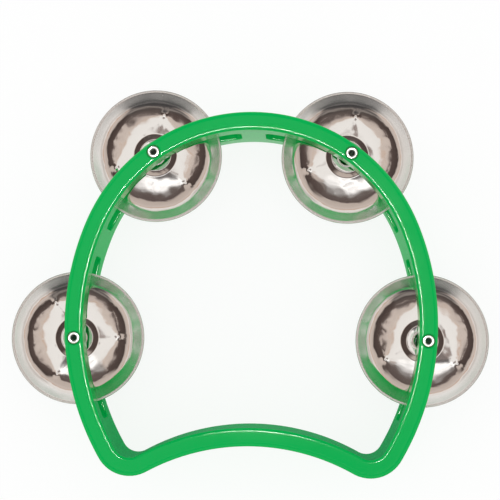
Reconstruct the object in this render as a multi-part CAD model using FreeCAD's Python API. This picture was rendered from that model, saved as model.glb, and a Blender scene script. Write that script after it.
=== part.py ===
# Cutaway hand tambourine: a moulded plastic hoop with a bowed-in grip, and four
# pairs of pressed steel jingles, each pair loose on a tubular pin across a slot.
# It lies flat on its rear face. +Z is the axis of the hoop, towards the front face,
# and +Y runs from the grip to the crown. The origin is below the middle of the
# object's bounding box, on the plane it rests on. Millimetres.

import FreeCAD, Part
import math
import os

from FreeCAD import Vector

# Hoop, as seen along its axis: a crown arc, two flatter side arcs, two tight bottom
# corners, and the grip, which bows up into the hoop. Every arc is tangent to the next.
CROWN_RADIUS = 68.6
SIDE_RADIUS = 102.3
CORNER_RADIUS = 13.5
CROWN_END_DEG = 67.5
SIDE_END_DEG = 120.0
GRIP_RADIUS = 82.0
BAND_WIDTH = 7.0
HOOP_DEPTH = 42.0
OUTER_EDGE_ROUND = 1.8
INNER_EDGE_ROUND = 1.2

# Slots through the wall, one for each pair of jingles. Angles are measured from +Y.
UPPER_SLOT_DEG = 35.7
UPPER_SLOT_HALF_DEG = 31.2
LOWER_SLOT_DEG = 93.3
LOWER_SLOT_HALF_DEG = 19.2
SLOT_HEIGHT = 17.8
SLOT_CORNER_ROUND = 3.0

# Pins: tubular rivets whose two ends are rolled over in counterbores.
PIN_RADIUS = 1.8
PIN_BORE_RADIUS = 1.2
PIN_HEAD_RADIUS = 2.3
PIN_HEAD_HEIGHT = 0.7
PIN_HEAD_ROUND = 0.3
PIN_RUNNING_FIT = 0.05
COUNTERBORE_RADIUS = 2.6
COUNTERBORE_DEPTH = 1.2
COUNTERBORE_CHAMFER = 0.4

# Jingles: pressed domes with a raised boss round the hole, a narrow flat brim, and
# three nibs pushed up from inside. Slopes are those of the dome's outer surface.
JINGLE_RADIUS = 26.0
JINGLE_HOLE_RADIUS = 3.2
JINGLE_SHEET = 0.5
BRIM_WIDTH = 1.0
BOSS_RADIUS = 6.6
BOSS_RISE = 0.9
SHOULDER_RADIUS = 8.3
MIDDLE_RADIUS = 17.5
SHOULDER_SLOPE_DEG = 4.0
MIDDLE_SLOPE_DEG = 13.0
RIM_SLOPE_DEG = 48.0
NIB_COUNT = 3
NIB_PLACE_RADIUS = 16.6
NIB_BALL_RADIUS = 1.8
NIB_RISE = 0.45
STACK_GAP = 0.02

# How each pair of jingles has come to rest: tipped over the rail with its inner side low,
# the angle of each one's first nib, anticlockwise from +X, and how far the pair's centre
# lies from the pin's axis, within the play of the holes.
LEAN_DEG = 3.5
LEAN_LIFT = 0.45
FRONT_NIB_DEG = {"upper_left": 78.0, "upper_right": 79.0, "lower_left": 122.0, "lower_right": 87.0}
REAR_NIB_DEG = {"upper_left": 31.0, "upper_right": 104.0, "lower_left": 64.0, "lower_right": 12.0}
LIE = {"upper_left": (-0.6, 0.65), "upper_right": (-1.0, 0.5),
       "lower_left": (-0.9, 0.1), "lower_right": (-0.9, 0.1)}

CENTRE_RADIUS_INSET = BAND_WIDTH / 2
SLOT_FLOOR = (HOOP_DEPTH - SLOT_HEIGHT) / 2


def heading(degrees):
    """Unit vector at an angle measured from +Y towards +X."""
    turn = math.radians(degrees)
    return Vector(math.sin(turn), math.cos(turn), 0)


def arc_centres():
    """Centres of the crown, right side, right corner and grip arcs, with the crown's at zero."""
    crown = Vector(0, 0, 0)
    side = crown + heading(CROWN_END_DEG) * (CROWN_RADIUS - SIDE_RADIUS)
    corner = side + heading(SIDE_END_DEG) * (SIDE_RADIUS - CORNER_RADIUS)
    drop = math.sqrt((CORNER_RADIUS + GRIP_RADIUS) ** 2 - corner.x ** 2)
    grip = Vector(0, corner.y - drop, 0)
    return crown, side, corner, grip


def middle_height():
    """Height of the bounding box's middle above the crown arc's centre."""
    crown, side, corner, grip = arc_centres()
    upper_pin = crown + heading(UPPER_SLOT_DEG) * (CROWN_RADIUS - CENTRE_RADIUS_INSET)
    top = upper_pin.y + JINGLE_RADIUS
    bottom = corner.y - CORNER_RADIUS
    return (top + bottom) / 2


LIFT = Vector(0, -middle_height(), 0)
CROWN_CENTRE, SIDE_CENTRE, CORNER_CENTRE, GRIP_CENTRE = (c + LIFT for c in arc_centres())


def mirrored(point):
    """The same point on the left half of the hoop."""
    return Vector(-point.x, point.y, point.z)


def outline(inset):
    """Closed wire of the hoop's outline, moved inwards by the inset."""
    crown_radius = CROWN_RADIUS - inset
    side_radius = SIDE_RADIUS - inset
    corner_radius = CORNER_RADIUS - inset
    top = CROWN_CENTRE + Vector(0, crown_radius, 0)
    crown_mid = CROWN_CENTRE + heading(CROWN_END_DEG / 2) * crown_radius
    crown_end = CROWN_CENTRE + heading(CROWN_END_DEG) * crown_radius
    side_mid = SIDE_CENTRE + heading((CROWN_END_DEG + SIDE_END_DEG) / 2) * side_radius
    side_end = SIDE_CENTRE + heading(SIDE_END_DEG) * side_radius
    towards_grip = (GRIP_CENTRE - CORNER_CENTRE).normalize()
    corner_mid = CORNER_CENTRE + (heading(SIDE_END_DEG) + towards_grip).normalize() * corner_radius
    corner_end = CORNER_CENTRE + towards_grip * corner_radius
    grip_mid = GRIP_CENTRE + Vector(0, GRIP_RADIUS + inset, 0)
    right = [(top, crown_mid, crown_end), (crown_end, side_mid, side_end), (side_end, corner_mid, corner_end)]
    left = [tuple(mirrored(point) for point in arc) for arc in right]
    arcs = right + [(corner_end, grip_mid, mirrored(corner_end))] + [arc[::-1] for arc in left[::-1]]
    return Part.Wire([Part.Arc(*arc).toShape() for arc in arcs])


def hoop_blank():
    """The hoop before its slots and bores are cut, with all four long edges rounded."""
    up = Vector(0, 0, HOOP_DEPTH)
    blank = Part.Face(outline(0)).extrude(up)
    flat = [edge for edge in blank.Edges if edge.BoundBox.ZLength < 1e-6]
    blank = blank.makeFillet(OUTER_EDGE_ROUND, flat)
    blank = blank.cut(Part.Face(outline(BAND_WIDTH)).extrude(up))
    opening = outline(BAND_WIDTH)
    for height in (0, HOOP_DEPTH):
        level = opening.translated(Vector(0, 0, height))
        rim = [edge for edge in blank.Edges if all(level.distToShape(end)[0] < 1e-6 for end in edge.Vertexes)]
        blank = blank.makeFillet(INNER_EDGE_ROUND, rim)
    return blank


def slot_cutter(centre, radius, middle_deg, half_deg):
    """Ring sector that cuts one slot through the wall, square to the wall at both ends."""
    near = radius - 2 * BAND_WIDTH
    far = radius + BAND_WIDTH
    first, last = heading(middle_deg - half_deg), heading(middle_deg + half_deg)
    middle = heading(middle_deg)
    sector = Part.Face(Part.Wire([
        Part.LineSegment(centre + first * near, centre + first * far).toShape(),
        Part.Arc(centre + first * far, centre + middle * far, centre + last * far).toShape(),
        Part.LineSegment(centre + last * far, centre + last * near).toShape(),
        Part.Arc(centre + last * near, centre + middle * near, centre + first * near).toShape(),
    ]))
    block = sector.translated(Vector(0, 0, SLOT_FLOOR)).extrude(Vector(0, 0, SLOT_HEIGHT))
    ends = [edge for edge in block.Edges if isinstance(edge.Curve, Part.Line) and edge.BoundBox.ZLength < 1e-6]
    return block.makeFillet(SLOT_CORNER_ROUND, ends)


def pin_places():
    """Axis of each pin, in the middle of the band, by the name of its place."""
    upper = CROWN_CENTRE + heading(UPPER_SLOT_DEG) * (CROWN_RADIUS - CENTRE_RADIUS_INSET)
    lower = SIDE_CENTRE + heading(LOWER_SLOT_DEG) * (SIDE_RADIUS - CENTRE_RADIUS_INSET)
    return {"upper_left": mirrored(upper), "upper_right": upper,
            "lower_left": mirrored(lower), "lower_right": lower}


def pin_hole(place):
    """Bore for one pin with a chamfered counterbore at each face."""
    bore = Part.makeCylinder(PIN_RADIUS + PIN_RUNNING_FIT, HOOP_DEPTH, place)
    mouth = COUNTERBORE_RADIUS + COUNTERBORE_CHAMFER
    for face, inwards in ((0, 1), (HOOP_DEPTH, -1)):
        start = place + Vector(0, 0, face)
        along = Vector(0, 0, inwards)
        bore = bore.fuse(Part.makeCylinder(COUNTERBORE_RADIUS, COUNTERBORE_DEPTH, start, along))
        bore = bore.fuse(Part.makeCone(mouth, COUNTERBORE_RADIUS, COUNTERBORE_CHAMFER, start, along))
    return bore


def hoop():
    """The moulded hoop with its four slots and four pin holes."""
    slots = [slot_cutter(CROWN_CENTRE, CROWN_RADIUS, UPPER_SLOT_DEG, UPPER_SLOT_HALF_DEG),
             slot_cutter(SIDE_CENTRE, SIDE_RADIUS, LOWER_SLOT_DEG, LOWER_SLOT_HALF_DEG)]
    slots += [slot.mirror(Vector(0, 0, 0), Vector(1, 0, 0)) for slot in slots]
    holes = [pin_hole(place) for place in pin_places().values()]
    return hoop_blank().cut(slots + holes)


def pin(place):
    """Tubular pin: a hollow shank with a rounded collar at each end, just below the hoop's faces."""
    foot = COUNTERBORE_DEPTH - PIN_HEAD_HEIGHT - PIN_RUNNING_FIT
    length = HOOP_DEPTH - 2 * foot
    solid = Part.makeCylinder(PIN_RADIUS, length, Vector(0, 0, foot))
    for base in (foot, foot + length - PIN_HEAD_HEIGHT):
        head = Part.makeCylinder(PIN_HEAD_RADIUS, PIN_HEAD_HEIGHT, Vector(0, 0, base))
        solid = solid.fuse(head.makeFillet(PIN_HEAD_ROUND, head.Edges))
    solid = solid.cut(Part.makeCylinder(PIN_BORE_RADIUS, HOOP_DEPTH)).removeSplitter()
    return solid.translated(place)


def arc_drop(slope_in, slope_out, run):
    """How far an arc falls over a run, between two slopes in degrees."""
    start, end = math.radians(slope_in), math.radians(slope_out)
    return run * (math.cos(start) - math.cos(end)) / (math.sin(end) - math.sin(start))


BRIM_RADIUS = JINGLE_RADIUS - BRIM_WIDTH
MIDDLE_HEIGHT = JINGLE_SHEET + arc_drop(MIDDLE_SLOPE_DEG, RIM_SLOPE_DEG, BRIM_RADIUS - MIDDLE_RADIUS)
SHOULDER_HEIGHT = MIDDLE_HEIGHT + arc_drop(SHOULDER_SLOPE_DEG, MIDDLE_SLOPE_DEG, MIDDLE_RADIUS - SHOULDER_RADIUS)
JINGLE_HEIGHT = SHOULDER_HEIGHT + BOSS_RISE


def heading_in_section(slope):
    """Outward normal of the section where the dome falls at a slope in degrees."""
    turn = math.radians(slope)
    return Vector(math.sin(turn), 0, math.cos(turn))


def dome_arc(start, slope_in, end, slope_out):
    """Edge of the dome between two points of its section, whose slopes there are known."""
    radius = (end.x - start.x) / (math.sin(math.radians(slope_out)) - math.sin(math.radians(slope_in)))
    centre = start - heading_in_section(slope_in) * radius
    middle = centre + heading_in_section((slope_in + slope_out) / 2) * radius
    return Part.Arc(start, middle, end).toShape()


def dish_profile(sheet):
    """Section of one surface of a jingle, from the hole's edge out to the rim, lowered by the sheet."""
    hole = Vector(JINGLE_HOLE_RADIUS, 0, JINGLE_HEIGHT - sheet)
    boss = Vector(BOSS_RADIUS, 0, JINGLE_HEIGHT - sheet)
    shoulder = Vector(SHOULDER_RADIUS, 0, SHOULDER_HEIGHT - sheet)
    middle = Vector(MIDDLE_RADIUS, 0, MIDDLE_HEIGHT - sheet)
    brim = Vector(BRIM_RADIUS, 0, JINGLE_SHEET - sheet)
    rim = Vector(JINGLE_RADIUS, 0, JINGLE_SHEET - sheet)
    return [Part.LineSegment(hole, boss).toShape(),
            Part.LineSegment(boss, shoulder).toShape(),
            dome_arc(shoulder, SHOULDER_SLOPE_DEG, middle, MIDDLE_SLOPE_DEG),
            dome_arc(middle, MIDDLE_SLOPE_DEG, brim, RIM_SLOPE_DEG),
            Part.LineSegment(brim, rim).toShape()]


def dish():
    """One pressed jingle, rim down on the plane z = 0, with the hole on the Z axis."""
    top = dish_profile(0)
    under = dish_profile(JINGLE_SHEET)
    hole_edge = Part.LineSegment(under[0].Vertexes[0].Point, top[0].Vertexes[0].Point).toShape()
    rim_edge = Part.LineSegment(top[-1].Vertexes[-1].Point, under[-1].Vertexes[-1].Point).toShape()
    section = Part.Face(Part.Wire(Part.__sortEdges__(top + under + [hole_edge, rim_edge])))
    return section.revolve(Vector(0, 0, 0), Vector(0, 0, 1), 360)


def jingle(first_nib_deg):
    """A jingle whose sheet is pushed up from inside at three places, on the same circle."""
    solid = dish()
    dome = dome_arc(Vector(SHOULDER_RADIUS, 0, SHOULDER_HEIGHT), SHOULDER_SLOPE_DEG,
                    Vector(MIDDLE_RADIUS, 0, MIDDLE_HEIGHT), MIDDLE_SLOPE_DEG)
    upright = Part.LineSegment(Vector(NIB_PLACE_RADIUS, 0, 0), Vector(NIB_PLACE_RADIUS, 0, JINGLE_HEIGHT))
    surface = dome.distToShape(upright.toShape())[1][0][0].z
    for number in range(NIB_COUNT):
        turn = math.radians(first_nib_deg + number * 360 / NIB_COUNT)
        ball = Vector(NIB_PLACE_RADIUS * math.cos(turn), NIB_PLACE_RADIUS * math.sin(turn),
                      surface + NIB_RISE - NIB_BALL_RADIUS)
        above = Part.makeCylinder(2 * NIB_BALL_RADIUS, JINGLE_HEIGHT, Vector(ball.x, ball.y, ball.z))
        solid = solid.fuse(Part.makeSphere(NIB_BALL_RADIUS, ball).common(above))
        solid = solid.cut(Part.makeSphere(NIB_BALL_RADIUS - JINGLE_SHEET, ball))
    return solid


def rested(solid, name, place):
    """A jingle in its slot: from the pair's middle at zero, tipped inwards and moved to its pin."""
    arc_centre = CROWN_CENTRE if name.startswith("upper") else SIDE_CENTRE
    inwards = (arc_centre if place.x > 0 else mirrored(arc_centre)) - place
    tipped = solid.rotated(Vector(0, 0, 0), Vector(0, 0, 1).cross(inwards.normalize()), LEAN_DEG)
    height = SLOT_FLOOR + JINGLE_HEIGHT + 1.5 * STACK_GAP + LEAN_LIFT
    return tipped.translated(place + Vector(*LIE[name], height))


def front_jingle(name, place):
    """The jingle nearer the front face, boss forwards, rim to rim with its partner."""
    solid = jingle(FRONT_NIB_DEG[name]).translated(Vector(0, 0, STACK_GAP / 2))
    return rested(solid, name, place)


def rear_jingle(name, place):
    """The jingle nearer the rear face, turned over so that its boss is by the slot's floor."""
    solid = jingle(-REAR_NIB_DEG[name]).rotated(Vector(0, 0, 0), Vector(1, 0, 0), 180)
    return rested(solid.translated(Vector(0, 0, -STACK_GAP / 2)), name, place)


def build():
    """Every piece of the tambourine, by name."""
    pieces = {"frame": hoop()}
    for name, place in pin_places().items():
        pieces[name + "_pin"] = pin(place)
        pieces[name + "_front_jingle"] = front_jingle(name, place)
        pieces[name + "_rear_jingle"] = rear_jingle(name, place)
    return pieces


os.makedirs("parts", exist_ok=True)
for node, shape in build().items():
    shape.exportStep("parts/" + node + ".step")
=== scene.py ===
# A cutaway hand tambourine: a moulded plastic hoop with a bowed-in grip, and four pairs of
# pressed and plated steel jingles, each pair loose on a tubular pin across a slot in the wall.
# It lies flat on its rear face, as its CAD model does. Sizes are in millimetres.
import math
import bmesh
import bpy
from mathutils import Matrix, Vector


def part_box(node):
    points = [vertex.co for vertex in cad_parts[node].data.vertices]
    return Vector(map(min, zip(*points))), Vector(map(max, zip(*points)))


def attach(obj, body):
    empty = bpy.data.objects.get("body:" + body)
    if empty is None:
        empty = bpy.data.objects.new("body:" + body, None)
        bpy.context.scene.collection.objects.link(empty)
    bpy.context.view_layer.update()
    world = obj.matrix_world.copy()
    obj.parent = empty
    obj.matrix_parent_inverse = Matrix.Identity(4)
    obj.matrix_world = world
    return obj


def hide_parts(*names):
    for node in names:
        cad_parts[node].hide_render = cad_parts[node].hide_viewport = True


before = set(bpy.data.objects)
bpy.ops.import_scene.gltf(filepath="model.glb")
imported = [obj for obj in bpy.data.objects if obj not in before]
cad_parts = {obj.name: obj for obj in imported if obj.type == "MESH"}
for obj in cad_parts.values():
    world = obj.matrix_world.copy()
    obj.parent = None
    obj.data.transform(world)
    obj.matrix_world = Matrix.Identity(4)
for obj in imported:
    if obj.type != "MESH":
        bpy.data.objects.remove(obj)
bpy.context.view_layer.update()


# ---- The hoop ----
# One injection moulding in glossy green plastic: a band 7 mm wide and 42 mm deep, with its
# edges rounded in the mould and its lower run bowed inwards as the grip. Side cores leave four
# slots through the wall, and a stepped hole for a pin crosses the middle of each slot.
MM = 0.001
BAND_WIDTH = 7.0
HOOP_DEPTH = 42.0
OUTER_EDGE_ROUND = 1.8
INNER_EDGE_ROUND = 1.2
CROWN_RADIUS = 68.6
SIDE_RADIUS = 102.3
CORNER_RADIUS = 13.5
GRIP_RADIUS = 82.0
CROWN_END_DEG = 67.5
SIDE_END_DEG = 120.0
UPPER_SLOT_DEG = (35.7, 31.2)
LOWER_SLOT_DEG = (93.3, 19.2)
SLOT_HEIGHT = 17.8
SLOT_CORNER_ROUND = 3.0
SLOT_EDGE_ROUND = 0.5
SLOT_MARGIN = 2.8
BORE_RADIUS = 1.85
COUNTERBORE_RADIUS = 2.6
COUNTERBORE_DEPTH = 1.2
COUNTERBORE_CHAMFER = 0.4
PIN_PATCH = 4.0
ROUND_STEP_DEG = 15
FACE_STEP = 1.0
RUN_STEP = 1.2
CUT_STEP = 0.6
CEILING_STEP = 1.6
PATCH_STEP = 0.8
PATCH_QUADS = 5
CORNER_STEPS = 12
WELD = 0.002
HOOP_CREASE_DEG = 30


def heading(degrees):
    """Direction in plan at an angle measured from +Y towards +X."""
    return Vector((math.sin(math.radians(degrees)), math.cos(math.radians(degrees))))


def hoop_spans():
    """Centre, radius, first and last heading and sense of each arc, from the top down the right side."""
    crown = Vector((0.0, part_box("frame")[1].y / MM - CROWN_RADIUS))
    side = crown + heading(CROWN_END_DEG) * (CROWN_RADIUS - SIDE_RADIUS)
    corner = side + heading(SIDE_END_DEG) * (SIDE_RADIUS - CORNER_RADIUS)
    reach = CORNER_RADIUS + GRIP_RADIUS
    grip = Vector((0.0, corner.y - math.sqrt(reach ** 2 - corner.x ** 2)))
    lean = math.degrees(math.asin(corner.x / reach))
    return [(crown, CROWN_RADIUS, 0.0, CROWN_END_DEG, 1),
            (side, SIDE_RADIUS, CROWN_END_DEG, SIDE_END_DEG, 1),
            (corner, CORNER_RADIUS, SIDE_END_DEG, 180 + lean, 1), (grip, GRIP_RADIUS, lean, 0.0, -1)]


SPANS = hoop_spans()
RUNS = [(radius - sense * BAND_WIDTH / 2) * math.radians(abs(last - first))
        for centre, radius, first, last, sense in SPANS]


def on_hoop(along, inset, height):
    """A point of the right half: along the band's middle line, in from its outside, above its mid-depth."""
    number = 0
    while number < len(RUNS) - 1 and along > RUNS[number]:
        along -= RUNS[number]
        number += 1
    centre, radius, first, last, sense = SPANS[number]
    place = centre + heading(first + (last - first) * along / RUNS[number]) * (radius - sense * inset)
    return Vector((place.x, place.y, height))


def spread(start, end, longest):
    """Even steps from one value to another, none longer than a given length, without the last."""
    count = max(1, math.ceil(abs(end - start) / longest - 1e-6))
    return [start + (end - start) * step / count for step in range(count)]


hoop_mesh = bmesh.new()


def lay(rows):
    """Quads between rows of points on the right front quarter of the hoop, and on the other three."""
    for side in (1, -1):
        for face in (1, -1):
            laid = [[hoop_mesh.verts.new((point.x * side * MM, point.y * MM,
                                          (HOOP_DEPTH / 2 + point.z * face) * MM))
                     for point in row] for row in rows]
            for upper, lower in zip(laid, laid[1:]):
                for quad in zip(upper, upper[1:], lower[1:], lower):
                    hoop_mesh.faces.new(quad)


def edge_profile():
    """Inset and drop from the face along the band's rounded section, from outer wall to inner wall."""
    turns = [math.radians(ROUND_STEP_DEG * step) for step in range(90 // ROUND_STEP_DEG + 1)]
    outer = [(OUTER_EDGE_ROUND * (1 - math.cos(turn)), OUTER_EDGE_ROUND * (1 - math.sin(turn)))
             for turn in turns]
    inner = [(BAND_WIDTH - INNER_EDGE_ROUND * (1 - math.cos(turn)), INNER_EDGE_ROUND * (1 - math.sin(turn)))
             for turn in reversed(turns)]
    flat = [(inset, 0.0) for inset in spread(outer[-1][0], inner[0][0], FACE_STEP)[1:]]
    return outer + flat + inner


def face_drop(inset):
    """How far the rounded face lies below its flat middle at an inset."""
    outside = max(0.0, OUTER_EDGE_ROUND - inset)
    inside = max(0.0, inset - BAND_WIDTH + INNER_EDGE_ROUND)
    return (OUTER_EDGE_ROUND - math.sqrt(OUTER_EDGE_ROUND ** 2 - outside ** 2)
            + INNER_EDGE_ROUND - math.sqrt(INNER_EDGE_ROUND ** 2 - inside ** 2))


WALL_TOP = {0.0: HOOP_DEPTH / 2 - OUTER_EDGE_ROUND, BAND_WIDTH: HOOP_DEPTH / 2 - INNER_EDGE_ROUND}
SLOT_RISE = SLOT_HEIGHT / 2 - SLOT_CORNER_ROUND
SIDE_HEIGHTS = spread(0.0, SLOT_RISE, RUN_STEP)


def slot_ring(half, top):
    """Round the upper half of a slot: middle of its rounding, way out, and place on the patch's border."""
    left = [(Vector((SLOT_CORNER_ROUND - half, height)), Vector((-1, 0)),
             Vector((-half - SLOT_MARGIN, height))) for height in SIDE_HEIGHTS]
    for step in range(CORNER_STEPS):
        turn = math.pi / 2 * step / CORNER_STEPS
        part = 2 * step / CORNER_STEPS
        border = Vector((-half - SLOT_MARGIN, SLOT_RISE + part * (top - SLOT_RISE)))
        if part > 1:
            border = Vector((-half - SLOT_MARGIN + (part - 1) * (SLOT_MARGIN + SLOT_CORNER_ROUND), top))
        way = Vector((-math.cos(turn), math.sin(turn)))
        left.append((Vector((SLOT_CORNER_ROUND - half, SLOT_RISE)), way, border))
    beside_pin = spread(-PIN_PATCH, 0.0, PATCH_STEP)
    for across in spread(SLOT_CORNER_ROUND - half, -PIN_PATCH, CEILING_STEP) + beside_pin:
        left.append((Vector((across, SLOT_RISE)), Vector((0, 1)), Vector((across, top))))
    right = [tuple(Vector((-point.x, point.y)) for point in entry) for entry in reversed(left)]
    return left + [(Vector((0, SLOT_RISE)), Vector((0, 1)), Vector((0, top)))] + right


def lay_slot(middle, half):
    """The wall round one slot, inside and out, and the slot's own rounded edges and sides."""
    rounding = [math.pi / 8 * step for step in range(5)]
    outside = [(0.0, share, SLOT_EDGE_ROUND) for share in (1.0, 0.55, 0.25, 0.08)]
    outside += [(SLOT_EDGE_ROUND * (1 - math.cos(turn)), 0.0, SLOT_EDGE_ROUND * (1 - math.sin(turn)))
                for turn in rounding]
    inside = [(BAND_WIDTH - inset, share, grow) for inset, share, grow in reversed(outside)]
    across = [(inset, 0.0, 0.0) for inset in spread(SLOT_EDGE_ROUND, BAND_WIDTH - SLOT_EDGE_ROUND, CUT_STEP)]
    across += [inside[0]]

    def row(inset, share, grow):
        wall = 0.0 if inset < BAND_WIDTH / 2 else BAND_WIDTH
        places = [(core + way * (SLOT_CORNER_ROUND + grow)).lerp(border, share)
                  for core, way, border in slot_ring(half, WALL_TOP[wall])]
        return [on_hoop(middle + place.x, inset, place.y) for place in places]

    lay([row(*entry) for entry in outside])
    lay([row(*entry) for entry in inside])
    first = len(slot_ring(half, 0.0)) // 2 - PATCH_QUADS
    crossing = [row(*entry) for entry in across]
    lay([line[:first + 1] for line in crossing])
    lay([line[-first - 1:] for line in crossing])


def lay_pin_hole(middle):
    """The stepped hole at the middle of a slot, from the rounded face down to the slot's ceiling."""
    pin = on_hoop(middle, BAND_WIDTH / 2, 0.0)
    centre, radius = SPANS[0 if middle < RUNS[0] else 1][:2]
    steps = spread(-PIN_PATCH, PIN_PATCH, PATCH_STEP) + [PIN_PATCH]

    def frame_round(insets):
        near = [(step, insets[0]) for step in steps[:-1]] + [(PIN_PATCH, inset) for inset in insets[:-1]]
        far = [(step, insets[-1]) for step in steps[:0:-1]]
        return near + far + [(-PIN_PATCH, inset) for inset in insets[:0:-1]]

    def surface(place):
        inset = radius - (Vector((place.x, place.y)) - centre).length
        return HOOP_DEPTH / 2 - face_drop(inset)

    profile = [inset for inset, drop in edge_profile()][3:-3]
    ceiling = spread(SLOT_EDGE_ROUND, BAND_WIDTH - SLOT_EDGE_ROUND, CUT_STEP)
    ceiling += [BAND_WIDTH - SLOT_EDGE_ROUND]
    border = [on_hoop(middle + step, inset, HOOP_DEPTH / 2 - face_drop(inset))
              for step, inset in frame_round(profile)]
    below = [on_hoop(middle + step, inset, SLOT_HEIGHT / 2) for step, inset in frame_round(ceiling)]
    ways = [(point - pin).to_2d().normalized().to_3d() for point in border]
    rim = []
    for way in ways:
        mouth = COUNTERBORE_RADIUS + COUNTERBORE_CHAMFER
        low, high = COUNTERBORE_RADIUS, mouth
        for halving in range(30):
            reach = (low + high) / 2
            cone = HOOP_DEPTH / 2 - (mouth - reach)
            if surface(pin + way * reach) > cone:
                low = reach
            else:
                high = reach
        rim.append(pin + way * reach + Vector((0, 0, cone)))
    rows = [border]
    for share in (0.35, 0.7):
        ring = [outer.lerp(inner, share) for outer, inner in zip(border, rim)]
        rows.append([Vector((point.x, point.y, surface(point))) for point in ring])
    rows.append(rim)
    for reach, drop in ((COUNTERBORE_RADIUS, COUNTERBORE_CHAMFER), (COUNTERBORE_RADIUS, COUNTERBORE_DEPTH),
                        (BORE_RADIUS, COUNTERBORE_DEPTH), (BORE_RADIUS, HOOP_DEPTH / 2 - SLOT_HEIGHT / 2)):
        rows.append([pin + way * reach + Vector((0, 0, HOOP_DEPTH / 2 - drop)) for way in ways])
    rows += [[inner.lerp(outer, 0.5) for inner, outer in zip(rows[-1], below)], below]
    lay([ring + ring[:1] for ring in rows])


middle_radii = [radius - BAND_WIDTH / 2 for radius in (CROWN_RADIUS, SIDE_RADIUS)]
upper_middle = middle_radii[0] * math.radians(UPPER_SLOT_DEG[0])
upper_half = middle_radii[0] * math.radians(UPPER_SLOT_DEG[1])
lower_middle = RUNS[0] + middle_radii[1] * math.radians(LOWER_SLOT_DEG[0] - CROWN_END_DEG)
lower_half = middle_radii[1] * math.radians(LOWER_SLOT_DEG[1])
section = edge_profile()
plain_from = 0.0
for middle, half in ((upper_middle, upper_half), (lower_middle, lower_half), (sum(RUNS) + SLOT_MARGIN, 0.0)):
    block_start = middle - half - SLOT_MARGIN
    plain = spread(plain_from, block_start, RUN_STEP) + [block_start]
    for wall, top in WALL_TOP.items():
        rises = [SLOT_RISE + 2 * step / CORNER_STEPS * (top - SLOT_RISE)
                 for step in range(CORNER_STEPS // 2 + 1)]
        lay([[on_hoop(along, wall, height) for along in plain] for height in SIDE_HEIGHTS + rises])
    lay([[on_hoop(along, inset, HOOP_DEPTH / 2 - drop) for along in plain] for inset, drop in section])
    if not half:
        break
    lay_slot(middle, half)
    lay_pin_hole(middle)
    ring = slot_ring(half, WALL_TOP[0.0])
    stations = [middle + border.x for core, way, border in ring if border.y > WALL_TOP[0.0] - 1e-6]
    before = [along for along in stations if along < middle - PIN_PATCH + 1e-6]
    beside = [along for along in stations if abs(along - middle) < PIN_PATCH + 1e-6]
    after = [along for along in stations if along > middle + PIN_PATCH - 1e-6]
    for some, levels in ((before, section), (after, section), (beside, section[:4]), (beside, section[-4:])):
        lay([[on_hoop(along, inset, HOOP_DEPTH / 2 - drop) for along in some] for inset, drop in levels])
    plain_from = middle + half + SLOT_MARGIN


def finish_mesh(piece_mesh, name, crease_deg):
    """Weld a bmesh, turn its faces outwards, shade it smooth between creases, and make it an object."""
    bmesh.ops.remove_doubles(piece_mesh, verts=piece_mesh.verts, dist=WELD * MM)
    bmesh.ops.recalc_face_normals(piece_mesh, faces=piece_mesh.faces)
    for edge in piece_mesh.edges:
        edge.smooth = edge.calc_face_angle(0.0) < math.radians(crease_deg)
    for face in piece_mesh.faces:
        face.smooth = True
    mesh = bpy.data.meshes.new(name)
    piece_mesh.to_mesh(mesh)
    piece_mesh.free()
    piece = bpy.data.objects.new(name, mesh)
    bpy.context.scene.collection.objects.link(piece)
    weighting = piece.modifiers.new("flats_first", "WEIGHTED_NORMAL")
    weighting.keep_sharp = True
    bpy.context.view_layer.update()
    depsgraph = bpy.context.evaluated_depsgraph_get()
    piece.data = bpy.data.meshes.new_from_object(piece.evaluated_get(depsgraph))
    piece.data.name = name
    piece.modifiers.clear()
    bpy.data.meshes.remove(mesh)
    return piece


hoop = finish_mesh(hoop_mesh, "hoop_moulding", HOOP_CREASE_DEG)


class Knob:
    """One output of a node. Sums on it add Math nodes, and node() adds any other node to its tree."""

    def __init__(self, tree, socket=None):
        self.tree = tree
        self.socket = socket

    def node(self, kind, settings=None, sockets=None, out=0):
        made = self.tree.nodes.new(kind)
        for name, value in (settings or {}).items():
            if name == "stops":
                ramp = made.color_ramp.elements
                ramp[0].color = (*value[0][1], 1)
                ramp[1].color = (*value[-1][1], 1)
                for position, colour in value[1:-1]:
                    ramp.new(position).color = (*colour, 1)
            else:
                setattr(made, name, value)
        for name, value in (sockets or {}).items():
            if isinstance(value, Knob):
                self.tree.links.new(value.socket, made.inputs[name])
            else:
                made.inputs[name].default_value = value
        return Knob(self.tree, made.outputs[out]) if made.outputs else made

    def maths(self, operation, *values):
        return self.node("ShaderNodeMath", {"operation": operation}, dict(enumerate(values)))

    def __add__(self, other):
        return self.maths("ADD", self, other)

    def __mul__(self, other):
        return self.maths("MULTIPLY", self, other)

    def __sub__(self, other):
        return self.maths("SUBTRACT", self, other)

    def __rsub__(self, other):
        return self.maths("SUBTRACT", other, self)

    def __truediv__(self, other):
        return self.maths("DIVIDE", self, other)

    __radd__ = __add__
    __rmul__ = __mul__


def new_finish(name):
    """An empty material, and the start of its node tree."""
    material = bpy.data.materials.new(name)
    material.use_nodes = True
    material.node_tree.nodes.clear()
    return material, Knob(material.node_tree)


def noise(start, place, scale, detail, rough=0.5):
    """Even noise from 0 to 1 over a place, with its scale in features per metre."""
    return start.node("ShaderNodeTexNoise", None,
                      {"Vector": place, "Scale": scale, "Detail": detail, "Roughness": rough})


def close_finish(start, sockets):
    """The shader of a finish, put out as its surface."""
    shader = start.node("ShaderNodeBsdfPrincipled", None, sockets)
    start.node("ShaderNodeOutputMaterial", None, {"Surface": shader})


DEEP_GREEN = (0.0, 0.500, 0.092, 1)
PALE_GREEN = (0.0, 0.555, 0.108, 1)


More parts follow.
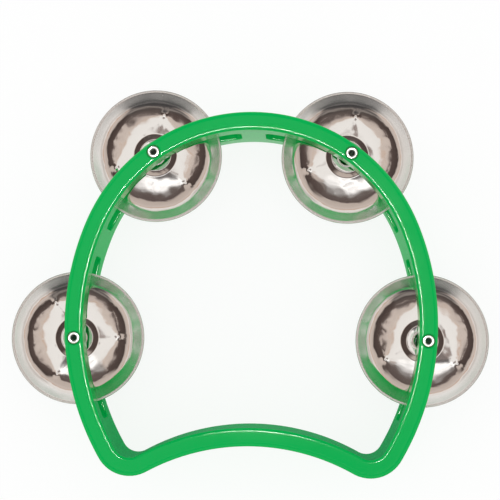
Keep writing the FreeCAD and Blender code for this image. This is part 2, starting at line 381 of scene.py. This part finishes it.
def green_plastic():
    """Mass-coloured glossy plastic, with faint flow clouds, a mould's slight ripple and rubbed spots."""
    material, start = new_finish("green_moulded_plastic")
    place = start.node("ShaderNodeTexCoord", out=3)
    clouds = noise(start, place, 35.0, 3.0)
    colour = start.node("ShaderNodeMix", {"data_type": "RGBA"},
                        {0: clouds, 6: DEEP_GREEN, 7: PALE_GREEN}, out=2)
    ripple = noise(start, place, 420.0, 2.0)
    grain = noise(start, place, 2600.0, 2.0)
    rubbed = noise(start, place, 60.0, 5.0, 0.62)
    bump = start.node("ShaderNodeBump", None,
                      {"Strength": 0.2, "Distance": 0.00002, "Height": ripple + grain * 0.02})
    close_finish(start, {"Base Color": colour, "Roughness": 0.08 + rubbed * 0.09, "Normal": bump,
                         "IOR": 1.46, "Specular IOR Level": 0.2})
    return material


hoop.data.materials.append(green_plastic())
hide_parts("frame")
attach(hoop, "frame")


# ---- The jingles ----
# Eight discs of thin steel sheet, pressed into domes with a raised boss and a rolled lip round
# the hole, a narrow flat brim, and three nibs pushed up from inside, then nickel plated. They
# go into the slots in pairs, rim to rim, each lying as it came to rest.
JINGLE_RADIUS = 26.0
JINGLE_SHEET = 0.5
SECTORS = 288
DOME_SLOPES = [(3.5, 0), (3.8, 14), (4.1, -6), (5.9, -5), (6.3, 15), (8.0, 18), (8.6, 3.4), (17.3, 11.2),
               (19.4, 19), (21.2, 34), (22.2, 41), (24.9, 43.5), (25.25, 0), (25.75, 0)]
LEAN_DEG = 3.5
NIB_TURNS = {"upper_left": (78.0, 31.0), "upper_right": (79.0, 104.0), "lower_left": (122.0, 64.0),
             "lower_right": (87.0, 12.0)}
NIB_COUNT = 3.0
NIB_PLACE = 16.6
NIB_RISE = 0.35
NIB_SPREAD = 0.8
SKIRT_RISE = 0.42
SKIRT_SPREAD = 3.7
WEAR_FROM = 19.5
WEAR_TO = 24.0
CREASE_DEG = 45


def dome_line():
    """Radius and height of the dome's outer surface above its brim, from the slopes where it bends."""
    radii, height, line = [], 0.0, []
    for (start, first), (end, last) in zip(DOME_SLOPES, DOME_SLOPES[1:]):
        longest = 0.1 if end - start < 1.2 else (0.35 if start > 8 else 0.5)
        sines = [math.sin(math.radians(slope)) for slope in (first, last)]
        for radius in spread(start, end, longest):
            radii.append((radius, sines[0] + (sines[1] - sines[0]) * (radius - start) / (end - start)))
    radii.append((DOME_SLOPES[-1][0], 0.0))
    for (outer, slope), (inner, inner_slope) in zip(reversed(radii), reversed([radii[0]] + radii[:-1])):
        line.append((outer, height))
        mean = (slope + inner_slope) / 2
        height += (outer - inner) * mean / math.sqrt(1 - mean ** 2)
    return list(reversed(line))


def jingle_section():
    """Closed section of a jingle, from the hole's rolled lip over the dome, round the rim and back."""
    top = [(radius, height + JINGLE_SHEET) for radius, height in dome_line()]
    half = JINGLE_SHEET / 2
    turns = [math.radians(22.5 * step) for step in range(1, 8)]
    rim = [(top[-1][0] + half * math.sin(turn), half + half * math.cos(turn)) for turn in turns]
    lip_top = top[0][1] - half
    lip = [(top[0][0] - half * 1.2 * math.sin(turn), lip_top - half * math.cos(turn)) for turn in turns]
    under = [(radius, height - JINGLE_SHEET) for radius, height in reversed(top)]
    return top + rim + under + lip + top[:1]


def revolve(start, section, sectors):
    """Turns a line of section points about the Z axis: the grid, its angle round it, and its radius."""
    points = start.node("GeometryNodeAttributeDomainSize", {"component": "MESH"}, {0: section})
    grid = start.node("GeometryNodeMeshGrid", None, {"Vertices X": sectors + 1, "Vertices Y": points})
    index = start.node("GeometryNodeInputIndex")
    place = start.node("GeometryNodeInputPosition")
    sample = start.node("GeometryNodeSampleIndex", {"data_type": "FLOAT_VECTOR", "domain": "POINT"},
                        {0: section, 1: place, 2: start.maths("FLOORED_MODULO", index, points)})
    turn = start.maths("FLOOR", (index + 0.5) / points) * (2 * math.pi) / sectors
    parts = start.node("ShaderNodeSeparateXYZ", None, {0: sample})
    radius = parts
    height = Knob(start.tree, parts.socket.node.outputs[2])
    turned = start.node("ShaderNodeCombineXYZ", None, {0: radius * start.maths("COSINE", turn),
                                                       1: radius * start.maths("SINE", turn), 2: height})
    shape = start.node("GeometryNodeSetPosition", None, {"Geometry": grid, "Position": turned})
    return shape, turn, radius


def new_tree(name, inputs):
    """A geometry tree with named inputs: its start, each input by name, and each one's identifier."""
    tree = bpy.data.node_groups.new(name, "GeometryNodeTree")
    tree.interface.new_socket("Geometry", in_out="OUTPUT", socket_type="NodeSocketGeometry")
    tree.interface.new_socket("Section", in_out="INPUT", socket_type="NodeSocketGeometry")
    identifiers = {}
    for label, kind in inputs.items():
        made = tree.interface.new_socket(label, in_out="INPUT", socket_type="NodeSocket" + kind)
        identifiers[label] = made.identifier
    group = tree.nodes.new("NodeGroupInput")
    given = {socket.name: Knob(tree, socket) for socket in group.outputs if socket.name}
    return Knob(tree), given, identifiers


def end_tree(start, shape, placed, material):
    """Welds the turned shape, moves its points to their places and gives it its finish."""
    shape = start.node("GeometryNodeMergeByDistance", None, {"Geometry": shape, "Distance": WELD * MM})
    shape = start.node("GeometryNodeSetPosition", None, {"Geometry": shape, "Position": placed})
    shape = start.node("GeometryNodeRealizeInstances", None, {0: shape})
    shape = start.node("GeometryNodeSetMaterial", None, {"Geometry": shape, "Material": material})
    start.node("NodeGroupOutput", None, {0: shape})


def vector_sum(start, operation, first, second):
    """Vector Math on two places."""
    return start.node("ShaderNodeVectorMath", {"operation": operation}, {0: first, 1: second})


def jingle_tree():
    """Revolves the jingle's section, marks its worn rim and pushes up its nibs, each on a wide skirt."""
    inputs = {"Sectors": "Int", "Nib Count": "Float", "Nib Place": "Float", "Nib Rise": "Float",
              "Nib Spread": "Float", "Skirt Rise": "Float", "Skirt Spread": "Float", "First Nib": "Float",
              "Way Up": "Vector", "Lean": "Float", "Lean Axis": "Vector", "Place": "Vector",
              "Plating": "Material"}
    start, given, identifiers = new_tree("pressed_jingle", inputs)
    shape, turn, radius = revolve(start, given["Section"], given["Sectors"])
    wear = start.node("ShaderNodeMapRange", {"interpolation_type": "SMOOTHSTEP"},
                      {"Value": radius, "From Min": WEAR_FROM * MM, "From Max": WEAR_TO * MM})
    shape = start.node("GeometryNodeStoreNamedAttribute", {"data_type": "FLOAT", "domain": "POINT"},
                       {"Geometry": shape, "Name": "rim_wear", "Value": wear})
    half = start.maths("DIVIDE", math.pi, given["Nib Count"])
    near = start.maths("WRAP", turn - given["First Nib"], half, 0.0 - half)
    place = given["Nib Place"]
    gap = radius * radius + place * place - 2 * radius * place * start.maths("COSINE", near)

    def hill(rise, width):
        return given[rise] * start.maths("EXPONENT", 0.0 - gap / (2 * given[width] * given[width]))

    nib_and_skirt = hill("Nib Rise", "Nib Spread") + hill("Skirt Rise", "Skirt Spread")
    lift = start.node("ShaderNodeCombineXYZ", None, {2: nib_and_skirt})
    shape = start.node("GeometryNodeSetPosition", None, {"Geometry": shape, "Offset": lift})
    turned_over = vector_sum(start, "MULTIPLY", start.node("GeometryNodeInputPosition"), given["Way Up"])
    leaning = start.node("ShaderNodeVectorRotate", None, {"Vector": turned_over, "Axis": given["Lean Axis"],
                                                          "Angle": given["Lean"]})
    end_tree(start, shape, vector_sum(start, "ADD", leaning, given["Place"]), given["Plating"])
    return start.tree, identifiers


def turned_piece(name, tree, identifiers, section, values):
    """A plain mesh of one turned piece, made by a tree from its section and the values of its inputs."""
    line = bpy.data.meshes.new(name)
    line.from_pydata([(radius * MM, 0, height * MM) for radius, height in section], [], [])
    blank = bpy.data.objects.new(name + "_section", line)
    bpy.context.scene.collection.objects.link(blank)
    modifier = blank.modifiers.new("making", "NODES")
    modifier.node_group = tree
    for label, value in values.items():
        modifier[identifiers[label]] = value
    bpy.context.view_layer.update()
    depsgraph = bpy.context.evaluated_depsgraph_get()
    made = bpy.data.meshes.new_from_object(blank.evaluated_get(depsgraph))
    bpy.data.objects.remove(blank)
    work = bmesh.new()
    work.from_mesh(made)
    for face in work.faces:
        face.material_index = 0
    piece = finish_mesh(work, name, CREASE_DEG)
    piece.data.materials.append(made.materials[-1])
    return piece


def nickel_plate(name, tint, roughness, ripple_depth):
    """Bright nickel on pressed steel: nearly white, warm, thumbed, finely rippled, dull at its worn rim."""
    material, start = new_finish(name)
    place = start.node("ShaderNodeTexCoord", out=3)
    smudge = noise(start, place, 90.0, 4.0, 0.6)
    haze = noise(start, place, 420.0, 3.0, 0.6)
    ripple = noise(start, place, 130.0, 1.0)
    wear = start.node("ShaderNodeAttribute", {"attribute_name": "rim_wear"}, out=2)
    bump = start.node("ShaderNodeBump", None, {"Strength": 1.0, "Distance": ripple_depth, "Height": ripple})
    close_finish(start, {"Base Color": tint, "Metallic": 1.0 - wear * 0.15, "Normal": bump,
                         "Roughness": roughness + smudge * 0.05 + haze * 0.04 + wear * 0.20})
    return material


jingle_plate = nickel_plate("nickel_plated_steel", (0.80, 0.765, 0.735, 1), 0.02, 0.00016)
pressing, pressing_inputs = jingle_tree()
for where, turns in NIB_TURNS.items():
    hand = 1 if where.endswith("right") else -1
    arc_centre = SPANS[0 if where.startswith("upper") else 1][0]
    pin_low, pin_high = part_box(where + "_pin")
    inwards = Vector((arc_centre.x * hand * MM, arc_centre.y * MM)) - ((pin_low + pin_high) / 2).to_2d()
    lean_axis = Vector((0, 0, 1)).cross(inwards.to_3d().normalized())
    for side, layer, turn in ((1, "front", turns[0]), (-1, "rear", turns[1])):
        node = where + "_" + layer + "_jingle"
        low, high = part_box(node)
        rim_drop = JINGLE_RADIUS * math.sin(math.radians(LEAN_DEG)) * MM
        middle = (low + high) / 2
        middle.z = low.z + rim_drop if side > 0 else high.z - rim_drop
        values = {"Sectors": SECTORS, "Nib Count": NIB_COUNT, "Nib Place": NIB_PLACE * MM,
                  "Nib Rise": NIB_RISE * MM, "Nib Spread": NIB_SPREAD * MM,
                  "Skirt Rise": SKIRT_RISE * MM, "Skirt Spread": SKIRT_SPREAD * MM,
                  "First Nib": math.radians(turn * side), "Way Up": (1.0, float(side), float(side)),
                  "Lean": math.radians(LEAN_DEG), "Lean Axis": lean_axis, "Place": middle,
                  "Plating": jingle_plate}
        disc = turned_piece(node + "_disc", pressing, pressing_inputs, jingle_section(), values)
        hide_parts(node)
        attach(disc, node)


# ---- The pins ----
# Four tubular rivets of plated steel, pushed through the hoop's face and the two jingles of a
# slot. Both ends are rolled over into a collar in their counterbores, and stay hollow.
PIN_RADIUS = 1.8
PIN_BORE_RADIUS = 1.2
PIN_LIP_RADIUS = 2.25
PIN_LIP_HEIGHT = 0.7
PIN_LIP_ROUND = 0.3
PIN_SECTORS = 48


def pin_section(length):
    """Closed section of a pin about its middle, up the bore, over the rolled lip and down the shank."""
    top = length / 2
    inner = [(PIN_BORE_RADIUS + 0.25 * (1 - math.cos(turn)),
              top - 0.12 - PIN_LIP_ROUND * (1 - math.sin(turn)))
             for turn in (math.radians(15 * step) for step in range(6))]
    outer = [(PIN_LIP_RADIUS - PIN_LIP_ROUND * (1 - math.cos(turn)),
              top - 0.06 - PIN_LIP_ROUND * (1 - math.sin(turn)))
             for turn in (math.radians(15 * step) for step in range(5, -1, -1))]
    lip = inner + [(1.56, top - 0.03), (1.72, top), (1.88, top - 0.02)] + outer
    tuck = [(PIN_LIP_RADIUS - 0.1, top - PIN_LIP_HEIGHT + 0.04),
            (PIN_RADIUS + 0.15, top - PIN_LIP_HEIGHT), (PIN_RADIUS, top - PIN_LIP_HEIGHT)]
    end = lip + tuck
    return end + [(radius, -height) for radius, height in reversed(end)] + end[:1]


def pin_tree():
    """Revolves the pin's section, and marks the wall of its bore."""
    inputs = {"Sectors": "Int", "Bore": "Float", "Place": "Vector", "Plating": "Material"}
    start, given, identifiers = new_tree("turned_pin", inputs)
    shape, turn, radius = revolve(start, given["Section"], given["Sectors"])
    in_bore = start.maths("LESS_THAN", radius, given["Bore"])
    shape = start.node("GeometryNodeStoreNamedAttribute", {"data_type": "FLOAT", "domain": "POINT"},
                       {"Geometry": shape, "Name": "in_bore", "Value": in_bore})
    placed = vector_sum(start, "ADD", start.node("GeometryNodeInputPosition"), given["Place"])
    end_tree(start, shape, placed, given["Plating"])
    return start.tree, identifiers




def pin_finish():
    """Bright nickel plate outside, and dull steel in the bore, which the plating hardly reaches, tinted
    green there as a painted reflection of the hoop.
    """
    material, start = new_finish("nickel_plated_pin")
    place = start.node("ShaderNodeTexCoord", out=3)
    rubbed = noise(start, place, 900.0, 3.0, 0.6)
    bore = start.node("ShaderNodeAttribute", {"attribute_name": "in_bore"}, out=2)
    # The bore's colour is dull steel with a painted green reflection of the hoop mixed in.
    colour = start.node("ShaderNodeMix", {"data_type": "RGBA"},
                        {0: bore, 6: (0.97, 0.96, 0.94, 1), 7: (0.60, 0.68, 0.60, 1)}, out=2)
    bump = start.node("ShaderNodeBump", None, {"Strength": 0.5, "Distance": 0.00002, "Height": rubbed})
    close_finish(start, {"Base Color": colour, "Metallic": 0.75 - bore * 0.45, "Normal": bump,
                         "Roughness": 0.16 + rubbed * 0.16 + bore * 0.10})
    return material


pin_plate = pin_finish()
turning, turning_inputs = pin_tree()
rivets = []
for where in NIB_TURNS:
    low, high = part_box(where + "_pin")
    values = {"Sectors": PIN_SECTORS, "Bore": (PIN_BORE_RADIUS + 0.06) * MM, "Place": (low + high) / 2,
              "Plating": pin_plate}
    section = pin_section((high.z - low.z) / MM)
    rivet = turned_piece(where + "_tubular_pin", turning, turning_inputs, section, values)
    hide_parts(where + "_pin")
    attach(rivet, where + "_pin")
    rivets.append(rivet)


# ---- The table and the light ----
# The tambourine lies on plain white paper in an even studio; in glossy rays the paper carries painted shade,
# tinted green beside the hoop. What the plating mirrors is a bright ceiling panel, warm walls with dark gaps
# and a dark side beyond the crown. One small lamp above the opening draws the thin line of light along the
# hoop's inner edge.
TABLE_REACH = 2.0
TABLE_GLOW = 0.87
TABLE_PAPER = 0.16
ROOM_GLOW = 0.80
LAMP_SIZE = 0.10
LAMP_WATTS = 1.7
LAMP_PLACE = (0.006, 0.006, 0.340)
PAINTED_SHADE_BY_HOOP = [(0.0, (0.01, 0.17, 0.07)), (0.44, (0.10, 0.38, 0.17)), (0.74, (0.24, 0.48, 0.29)),
               (1.0, (0.70, 0.74, 0.70))]


def table_finish():
    """White paper lit from all sides, glowing evenly. Glossy rays see painted shade on it: green-tinted and
    darkest by the grip, and near-black beyond the crown.
    """
    material, start = new_finish("white_table")
    place = start.node("ShaderNodeSeparateXYZ", None, {0: start.node("ShaderNodeTexCoord", out=3)})
    north = Knob(start.tree, place.socket.node.outputs[1])
    along = start.node("ShaderNodeMapRange", None, {"Value": north, "From Min": -0.060, "From Max": 0.075})
    # Painted shade that only glossy rays see: green-tinted and darkest by the grip, paling towards the
    # crown, then painted near-black past it.
    painted_shade_by_hoop = start.node("ShaderNodeValToRGB", {"stops": PAINTED_SHADE_BY_HOOP}, {"Fac": along})
    beyond = start.node("ShaderNodeMapRange", {"interpolation_type": "SMOOTHSTEP"},
                        {"Value": north, "From Min": 0.110, "From Max": 0.180})
    painted_shade_in_gloss = start.node("ShaderNodeMix", {"data_type": "RGBA"},
                          {0: beyond, 6: painted_shade_by_hoop, 7: (0.04, 0.04, 0.04, 1)}, out=2)
    glossy = start.node("ShaderNodeLightPath", out=3)
    glow_colour = start.node("ShaderNodeMix", {"data_type": "RGBA"},
                             {0: glossy, 6: (TABLE_GLOW, TABLE_GLOW, TABLE_GLOW, 1), 7: painted_shade_in_gloss}, out=2)
    glow = start.node("ShaderNodeEmission", None, {"Color": glow_colour, "Strength": 1.0})
    paper = start.node("ShaderNodeBsdfDiffuse", None, {"Color": (TABLE_PAPER, TABLE_PAPER, TABLE_PAPER, 1)})
    both = start.node("ShaderNodeAddShader", None, {0: glow, 1: paper})
    start.node("ShaderNodeOutputMaterial", None, {"Surface": both})
    return material


table_mesh = bpy.data.meshes.new("table")
corners = [(-TABLE_REACH, -TABLE_REACH, 0), (TABLE_REACH, -TABLE_REACH, 0), (TABLE_REACH, TABLE_REACH, 0),
           (-TABLE_REACH, TABLE_REACH, 0)]
table_mesh.from_pydata(corners, [], [(0, 1, 2, 3)])
table = bpy.data.objects.new("table", table_mesh)
bpy.context.scene.collection.objects.link(table)
table.data.materials.append(table_finish())

ALL_ROUND = [(0.00, (0.30, 0.24, 0.22)), (0.060, (0.33, 0.27, 0.25)), (0.075, (1.02, 1.01, 0.99)),
             (0.180, (0.98, 0.97, 0.95)), (0.190, (0.62, 0.42, 0.31)), (0.200, (0.74, 0.65, 0.59)),
             (0.245, (0.66, 0.57, 0.52)), (0.262, (0.11, 0.08, 0.072)), (0.440, (0.07, 0.052, 0.047)),
             (0.470, (0.60, 0.52, 0.47)), (0.620, (0.72, 0.63, 0.58)), (0.690, (0.62, 0.43, 0.33)),
             (0.710, (0.98, 0.95, 0.92)), (0.820, (0.60, 0.55, 0.52)), (0.90, (0.85, 0.83, 0.80)),
             (1.0, (1.0, 1.0, 1.0))]
SOUTH = [(0.00, (0.30, 0.24, 0.22)), (0.055, (0.26, 0.22, 0.21)), (0.075, (0.12, 0.11, 0.11)),
         (0.105, (0.34, 0.33, 0.33)), (0.130, (1.60, 1.60, 1.60)), (0.155, (1.20, 1.20, 1.20)),
         (0.195, (0.40, 0.38, 0.37)), (0.235, (0.15, 0.12, 0.11)), (0.340, (0.12, 0.09, 0.085)),
         (0.380, (0.58, 0.50, 0.45)), (0.620, (0.70, 0.61, 0.56)), (0.690, (0.62, 0.43, 0.33)),
         (0.710, (0.98, 0.95, 0.92)), (0.850, (0.90, 0.87, 0.84)), (0.90, (1.0, 1.0, 1.0)),
         (1.0, (1.0, 1.0, 1.0))]
NORTH = [(0.00, (0.30, 0.24, 0.22)), (0.060, (0.33, 0.27, 0.25)), (0.075, (1.02, 1.01, 0.99)),
         (0.200, (0.98, 0.97, 0.95)), (0.215, (0.62, 0.46, 0.36)), (0.235, (0.66, 0.57, 0.52)),
         (0.265, (0.55, 0.47, 0.43)), (0.300, (0.15, 0.12, 0.11)), (0.420, (0.09, 0.075, 0.07)),
         (0.480, (0.30, 0.27, 0.25)), (0.530, (0.10, 0.09, 0.09)), (0.700, (0.045, 0.045, 0.045)),
         (0.780, (0.16, 0.15, 0.15)), (0.840, (0.05, 0.05, 0.05)), (0.950, (0.06, 0.06, 0.06)),
         (1.0, (0.35, 0.34, 0.33))]
world = bpy.data.worlds.new("studio")
bpy.context.scene.world = world
world.use_nodes = True
world.node_tree.nodes.clear()
studio = Knob(world.node_tree)
direction = studio.node("ShaderNodeTexCoord", out=0)
wander = noise(studio, direction, 2.4, 2.0)
streaks = noise(studio, direction, 16.0, 3.0, 0.6)
upright = studio.node("ShaderNodeVectorMath", {"operation": "DOT_PRODUCT"},
                      {0: direction, 1: (0, 0, 1)}, out=1)
zenith_angle = studio.maths("ARCCOSINE", upright) / (math.pi / 2)
from_zenith = zenith_angle + (wander - 0.5) * 0.20 + (streaks - 0.5) * 0.16
level = studio.node("ShaderNodeVectorMath", {"operation": "MULTIPLY"}, {0: direction, 1: (1, 1, 0)})
compass = studio.node("ShaderNodeVectorMath", {"operation": "NORMALIZE"}, {0: level})
northing = studio.node("ShaderNodeVectorMath", {"operation": "DOT_PRODUCT"},
                       {0: compass, 1: (0, 1, 0)}, out=1)
northing = northing + (wander - 0.5) * 0.5


def sector(start, end):
    """1 towards one side of the room and 0 away from it, with a soft edge between two northings."""
    return studio.node("ShaderNodeMapRange", {"interpolation_type": "SMOOTHSTEP"},
                       {"Value": northing, "From Min": start, "From Max": end})


def blended(share, first, second):
    """Mix of two colours."""
    return studio.node("ShaderNodeMix", {"data_type": "RGBA"}, {0: share, 6: first, 7: second}, out=2)


all_round, south, north = [studio.node("ShaderNodeValToRGB", {"stops": stops}, {"Fac": from_zenith})
                           for stops in (ALL_ROUND, SOUTH, NORTH)]
bands = blended(sector(0.72, 0.92), blended(sector(-0.62, -0.82), all_round, south), north)
glossy = studio.node("ShaderNodeLightPath", out=3)
room_light = blended(glossy, (ROOM_GLOW, ROOM_GLOW, ROOM_GLOW, 1), bands)
room = studio.node("ShaderNodeBackground", None, {"Color": room_light, "Strength": 1.0})
studio.node("ShaderNodeOutputWorld", None, {"Surface": room})
bpy.context.scene.view_settings.view_transform = "Standard"

small_lamp = bpy.data.objects.new("small_lamp", bpy.data.lights.new("small_lamp", "AREA"))
bpy.context.scene.collection.objects.link(small_lamp)
small_lamp.data.shape = "DISK"
small_lamp.data.size = LAMP_SIZE
small_lamp.data.energy = LAMP_WATTS
small_lamp.data.cycles.max_bounces = 0
small_lamp.data.cycles.use_multiple_importance_sampling = False
small_lamp.visible_diffuse = False
small_lamp.location = LAMP_PLACE
receivers = bpy.data.collections.new("lamp_falls_on")
receivers.objects.link(hoop)
for rivet in rivets:
    receivers.objects.link(rivet)
small_lamp.light_linking.receiver_collection = receivers


# ---- The camera ----
# A long lens almost straight above the hoop, a little to its right and towards the grip.
EYE = Vector((15.73, -25.73, 700.0)) * MM
AIM = Vector((-0.553, 11.37, 42.0)) * MM
ROLL_DEG = 0.537
LENS = 124.67
camera = bpy.data.objects.new("camera", bpy.data.cameras.new("camera"))
bpy.context.scene.collection.objects.link(camera)
camera.data.sensor_width = 36.0
camera.data.lens = LENS
back = (EYE - AIM).normalized()
upward = Vector((-math.sin(math.radians(ROLL_DEG)), math.cos(math.radians(ROLL_DEG)), 0))
right = upward.cross(back).normalized()
turn = Matrix((right, back.cross(right), back)).transposed()
camera.matrix_world = Matrix.Translation(EYE) @ turn.to_4x4()
bpy.context.scene.camera = camera
